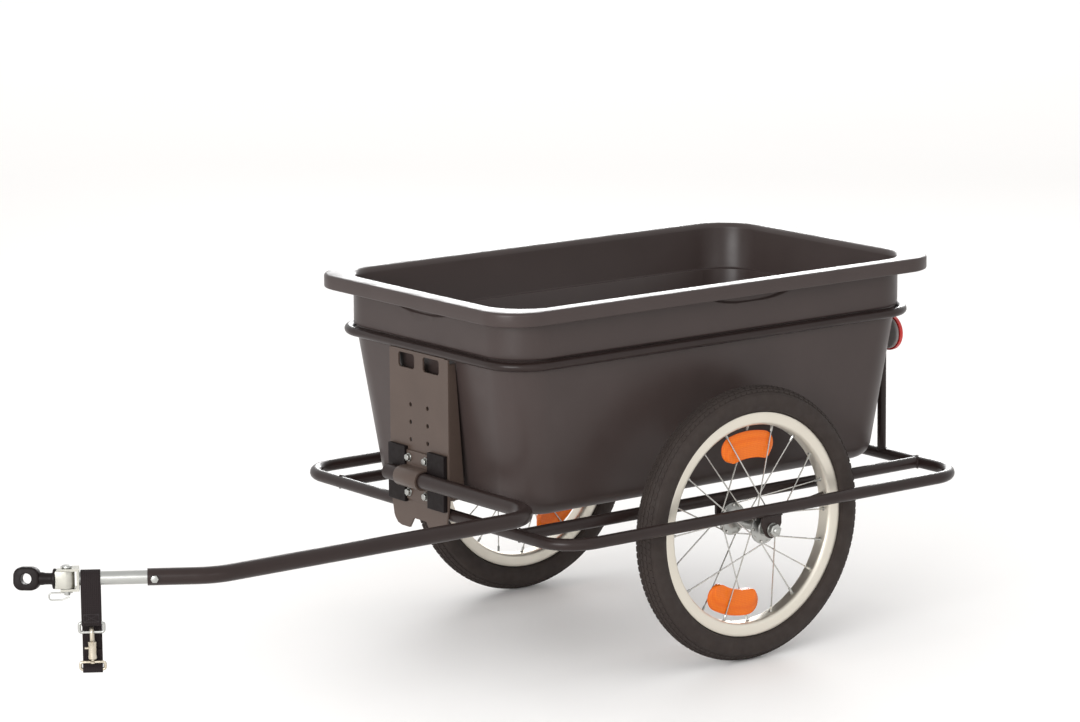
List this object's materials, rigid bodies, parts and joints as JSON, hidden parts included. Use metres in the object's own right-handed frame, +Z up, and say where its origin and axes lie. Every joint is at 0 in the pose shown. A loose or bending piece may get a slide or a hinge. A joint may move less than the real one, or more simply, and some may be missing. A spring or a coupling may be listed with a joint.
{
  "type": "bicycle trailer",
  "caption": "Two-wheeled bicycle cargo trailer: open plastic tub in a tube frame, side-mounted bent drawbar with a swivelling eye hitch and a safety strap.",
  "frame": {"origin": "on the ground, midway along the trailer's overall length and width", "axes": "+X forward towards the hitch, +Y to the trailer's left, +Z up"},
  "size_m": [1.5216, 0.6572, 0.5354],
  "materials": {
    "tub_plastic": "dark warm grey moulded plastic, faint grain",
    "frame_paint": "black-brown satin powder coat",
    "tyre_rubber": "matt dark rubber",
    "rim_aluminium": "bright machined aluminium",
    "zinc_steel": "bright zinc-plated steel",
    "black_plastic": "black moulded plastic",
    "orange_lens": "orange reflector plastic",
    "red_lens": "red reflector plastic",
    "grey_plastic": "grey moulded plastic",
    "black_webbing": "black woven webbing"
  },
  "bodies": {
    "frame": {"tub": "tub_plastic", "upper_ring": "frame_paint", "lower_loop": "frame_paint", "inner_rail_left": "frame_paint", "inner_rail_right": "frame_paint", "rear_post_left": "frame_paint", "rear_post_right": "frame_paint", "front_plate": "frame_paint", "axle_bracket_left_inner": "frame_paint", "axle_bracket_left_outer": "frame_paint", "axle_bracket_right_inner": "frame_paint", "axle_bracket_right_outer": "frame_paint", "clamp_base_left": "black_plastic", "clamp_base_right": "black_plastic", "clamp_saddle": "frame_paint", "clamp_bolt_1": "zinc_steel", "clamp_bolt_2": "zinc_steel", "clamp_bolt_3": "zinc_steel", "clamp_bolt_4": "zinc_steel", "axle_left": "zinc_steel", "axle_right": "zinc_steel", "axle_nut_left_inner": "zinc_steel", "axle_nut_left_outer": "zinc_steel", "axle_nut_right_inner": "zinc_steel", "axle_nut_right_outer": "zinc_steel", "bearing_cone_left_inner": "zinc_steel", "bearing_cone_left_outer": "zinc_steel", "bearing_cone_right_inner": "zinc_steel", "bearing_cone_right_outer": "zinc_steel", "rear_reflector_housing_left": "grey_plastic", "rear_reflector_housing_right": "grey_plastic", "rear_reflector_lens_left": "red_lens", "rear_reflector_lens_right": "red_lens"},
    "wheel_left": {"tyre_left": "tyre_rubber", "rim_left": "rim_aluminium", "inner_tube_left": "tyre_rubber", "spoked_hub_left": "zinc_steel", "spoke_reflector_left_1": "orange_lens", "spoke_reflector_left_2": "orange_lens"},
    "wheel_right": {"tyre_right": "tyre_rubber", "rim_right": "rim_aluminium", "inner_tube_right": "tyre_rubber", "spoked_hub_right": "zinc_steel", "spoke_reflector_right_1": "orange_lens", "spoke_reflector_right_2": "orange_lens"},
    "drawbar": {"drawbar": "frame_paint", "hitch_tube": "zinc_steel", "drawbar_bolt": "zinc_steel", "drawbar_nut": "zinc_steel", "hitch_fork": "zinc_steel", "hitch_pin": "zinc_steel", "hitch_pin_clip": "zinc_steel"},
    "knuckle": {"hitch_knuckle": "zinc_steel"},
    "head": {"hitch_head": "black_plastic"},
    "strap": {"safety_strap": "black_webbing", "strap_ring": "zinc_steel", "snap_hook": "zinc_steel", "snap_swivel": "zinc_steel"},
    "snap_bolt": {"snap_bolt": "zinc_steel"}
  },
  "joints": [
    {"name": "wheel_left_spin", "type": "hinge", "parent": "frame", "child": "wheel_left", "pos_m": [-0.36476, 0.2635, 0.1975], "axis": [0, 1, 0], "continuous": true},
    {"name": "wheel_right_spin", "type": "hinge", "parent": "frame", "child": "wheel_right", "pos_m": [-0.36476, -0.2635, 0.1975], "axis": [0, 1, 0], "continuous": true},
    {"name": "drawbar_swing", "type": "hinge", "parent": "frame", "child": "drawbar", "pos_m": [0.02864, 0, 0.2725], "axis": [0, -1, 0], "range_deg": [-10, 120]},
    {"name": "hitch_yaw", "type": "hinge", "parent": "drawbar", "child": "knuckle", "pos_m": [0.70523, 0.1967, 0.2725], "axis": [0, 0, 1], "range_deg": [-67, 83]},
    {"name": "hitch_roll", "type": "hinge", "parent": "knuckle", "child": "head", "pos_m": [0.70523, 0.1967, 0.2725], "axis": [0.7547, -0.6561, 0], "continuous": true},
    {"name": "strap_swing", "type": "hinge", "parent": "drawbar", "child": "strap", "pos_m": [0.68049, 0.21276, 0.2725], "axis": [0.8387, -0.5446, 0], "range_deg": [-60, 60]},
    {"name": "snap_bolt_slide", "type": "slide", "parent": "strap", "child": "snap_bolt", "axis": [0, 0, -1], "range_m": [0, 0.0065], "stiffness_N_per_m": 400, "springref_m": -0.004}
  ]
}
